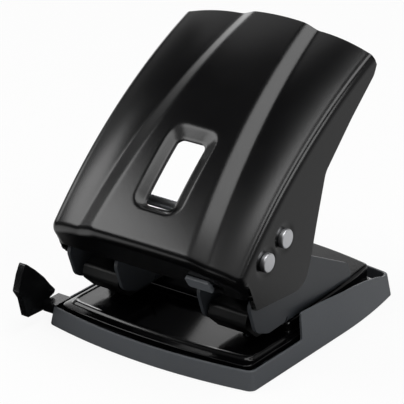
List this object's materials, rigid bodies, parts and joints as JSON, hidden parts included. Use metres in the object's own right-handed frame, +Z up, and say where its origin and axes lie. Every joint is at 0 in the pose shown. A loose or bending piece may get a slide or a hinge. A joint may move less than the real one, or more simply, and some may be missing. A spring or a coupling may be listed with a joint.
{
  "type": "two-hole desk punch",
  "caption": "Heavy two-hole desk punch: pressed steel lever on a pivot rod, spring-loaded punches, hinged base plate over a chip tray, sliding paper guide and lever lock.",
  "frame": {"origin": "on the desk, on the middle plane between the two holes, below the middle of the tray's depth", "axes": "+X along the paper edge to the user's right, +Y to the rear, +Z up"},
  "size_m": [0.1389, 0.1576, 0.1507],
  "materials": {
    "tray_plastic": "moulded, fine grain, dark grey",
    "mat_rubber": "soft, matt",
    "steel_pin": "bright drawn wire",
    "guide_plastic": "black, smooth, half gloss",
    "plate_enamel": "black baked enamel, high gloss",
    "die_steel": "turned and hardened",
    "bracket_paint": "black-grey powder coat, half gloss",
    "guide_metal": "black coat on a die casting",
    "rivet_steel": "zinc plated",
    "rod_steel": "bright zinc plated heads",
    "punch_steel": "ground",
    "collar_steel": "turned",
    "spring_steel": "drawn wire",
    "lever_paint": "black enamel, satin to half gloss",
    "slider_plastic": "moulded, dark grey"
  },
  "bodies": {
    "tray": {"tray": "tray_plastic", "anti_slip_mat": "mat_rubber", "hinge_pins": "steel_pin"},
    "base": {"base_plate": "plate_enamel", "die_left": "die_steel", "die_right": "die_steel", "bracket_left": "bracket_paint", "bracket_right": "bracket_paint", "punch_guide_left": "guide_metal", "punch_guide_right": "guide_metal", "guide_rivets": "rivet_steel", "pivot_rod": "rod_steel", "pivot_cap": "rod_steel", "return_spring_left": "spring_steel", "return_spring_right": "spring_steel"},
    "lever": {"lever": "lever_paint", "drive_rod": "rod_steel", "drive_cap": "rod_steel"},
    "punch_left": {"punch_left": "punch_steel", "punch_collar_left": "collar_steel"},
    "punch_right": {"punch_right": "punch_steel", "punch_collar_right": "collar_steel"},
    "lock": {"lock_slider": "slider_plastic", "lock_plate": "steel_pin"},
    "paper_guide": {"paper_guide": "guide_plastic"}
  },
  "joints": [
    {"name": "base_tilt", "type": "hinge", "parent": "tray", "child": "base", "pos_m": [0, 0.054, 0.0065], "axis": [-1, 0, 0], "range_deg": [0, 30]},
    {"name": "lever_press", "type": "hinge", "parent": "base", "child": "lever", "pos_m": [0, -0.049, 0.0625], "axis": [-1, 0, 0], "range_deg": [0, 38], "stiffness_Nm_per_rad": 0.9, "springref_deg": -20.05},
    {"name": "punch_left_slide", "type": "slide", "parent": "base", "child": "punch_left", "axis": [0, 0, -1], "range_m": [0, 0.01115], "deforming": ["return_spring_left"]},
    {"name": "punch_right_slide", "type": "slide", "parent": "base", "child": "punch_right", "axis": [0, 0, -1], "range_m": [0, 0.01115], "deforming": ["return_spring_right"]},
    {"name": "lock_slide", "type": "slide", "parent": "lever", "child": "lock", "axis": [1, 0, 0], "range_m": [0, 0.0075]},
    {"name": "guide_slide", "type": "slide", "parent": "tray", "child": "paper_guide", "axis": [-1, 0, 0], "range_m": [0, 0.075]}
  ],
  "couplings": [
    {"joint": "punch_left_slide", "follows": "lever_press", "m_per_rad": 0.0168},
    {"joint": "punch_right_slide", "follows": "lever_press", "m_per_rad": 0.0168}
  ]
}
